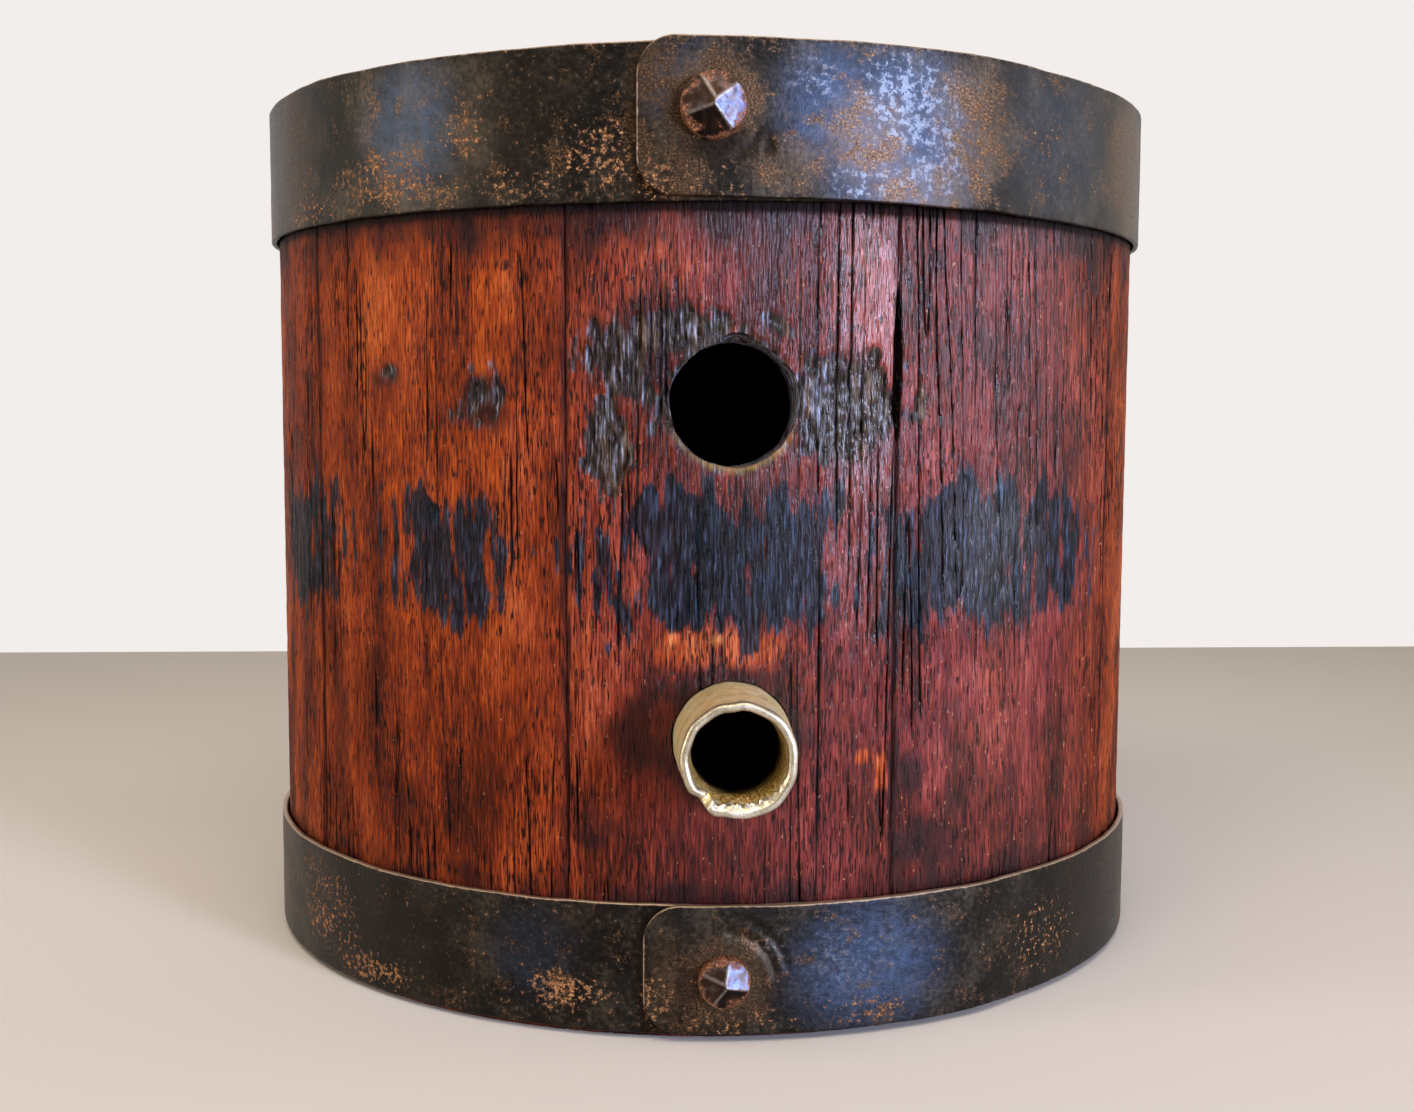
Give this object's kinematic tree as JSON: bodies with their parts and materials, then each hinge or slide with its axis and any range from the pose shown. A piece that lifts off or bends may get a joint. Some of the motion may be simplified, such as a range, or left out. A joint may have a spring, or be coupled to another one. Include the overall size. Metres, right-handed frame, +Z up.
{
  "type": "wooden keg",
  "caption": "Small straight-sided coopered oak keg with lapped, riveted iron hoops, a bung hole in the side and a short fixed brass spout below it.",
  "frame": {"origin": "centre of the circle of stave ends that the keg stands on", "axes": "+Z up along the keg's axis, -Y out of the bung hole and the spout"},
  "size_m": [0.2032, 0.2196, 0.1857],
  "materials": {
    "stave_oak": "stained, worn",
    "head_oak": "stained, worn",
    "dowel_oak": "bare",
    "hoop_iron": "blackened, rusted",
    "rivet_iron": "hammered, rusted",
    "spout_brass": "tarnished"
  },
  "bodies": {
    "root": {"bung_stave": "stave_oak", "stave_02": "stave_oak", "stave_03": "stave_oak", "stave_04": "stave_oak", "stave_05": "stave_oak", "stave_06": "stave_oak", "stave_07": "stave_oak", "stave_08": "stave_oak", "stave_09": "stave_oak", "stave_10": "stave_oak", "top_head_left_cant": "head_oak", "top_head_middle": "head_oak", "top_head_right_cant": "head_oak", "bottom_head_left_cant": "head_oak", "bottom_head_middle": "head_oak", "bottom_head_right_cant": "head_oak", "top_head_dowels": "dowel_oak", "bottom_head_dowels": "dowel_oak", "top_hoop": "hoop_iron", "bottom_hoop": "hoop_iron", "top_hoop_rivet": "rivet_iron", "bottom_hoop_rivet": "rivet_iron", "spout": "spout_brass"}
  },
  "joints": []
}
